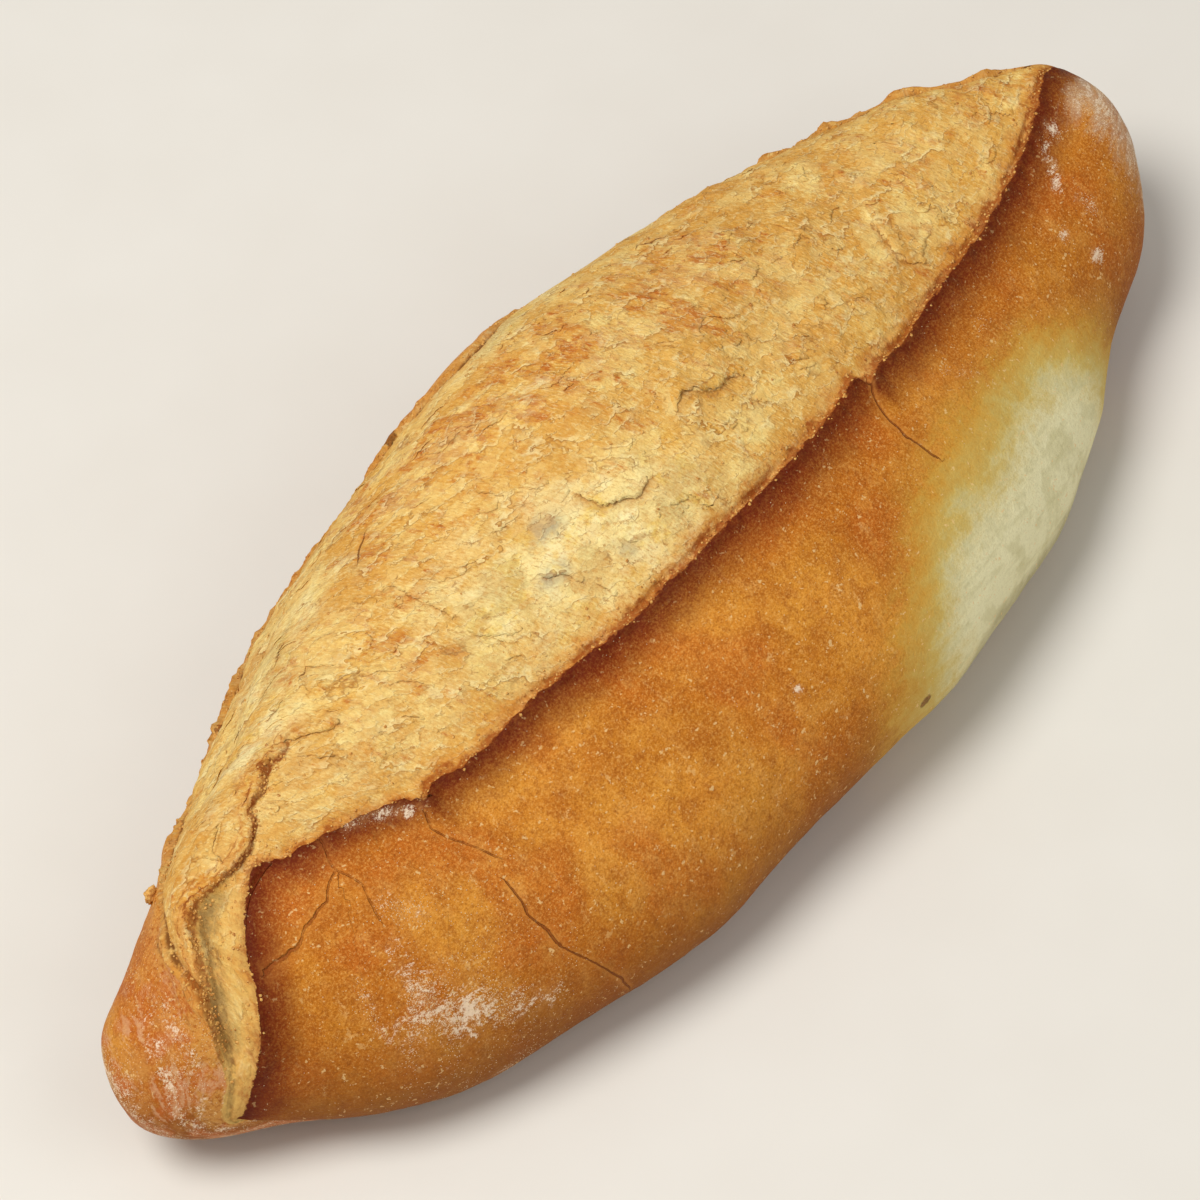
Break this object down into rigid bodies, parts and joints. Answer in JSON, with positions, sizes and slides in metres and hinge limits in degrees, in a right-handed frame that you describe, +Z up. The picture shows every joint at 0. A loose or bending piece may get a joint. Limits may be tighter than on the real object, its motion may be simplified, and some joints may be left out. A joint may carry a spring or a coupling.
{
  "type": "stone-baked bread loaf",
  "caption": "Long oval stone-baked loaf with a smooth browned crust, a raised dark ear and a pale torn bloom along one slit, resting on its flat bottom",
  "frame": {"origin": "centre of the bounding box's bottom face, on the floor under the loaf", "axes": "+X along the loaf to its upper right end in the picture, +Y to the side that is hidden in the picture, +Z up"},
  "size_m": [0.3297, 0.1259, 0.0792],
  "materials": {
    "crust": "dry baked crust, golden to chestnut brown on the smooth sides and pale straw on the torn bloom, matte with a slight sheen on the brown skin"
  },
  "bodies": {
    "root": {"loaf": "crust"}
  },
  "joints": []
}
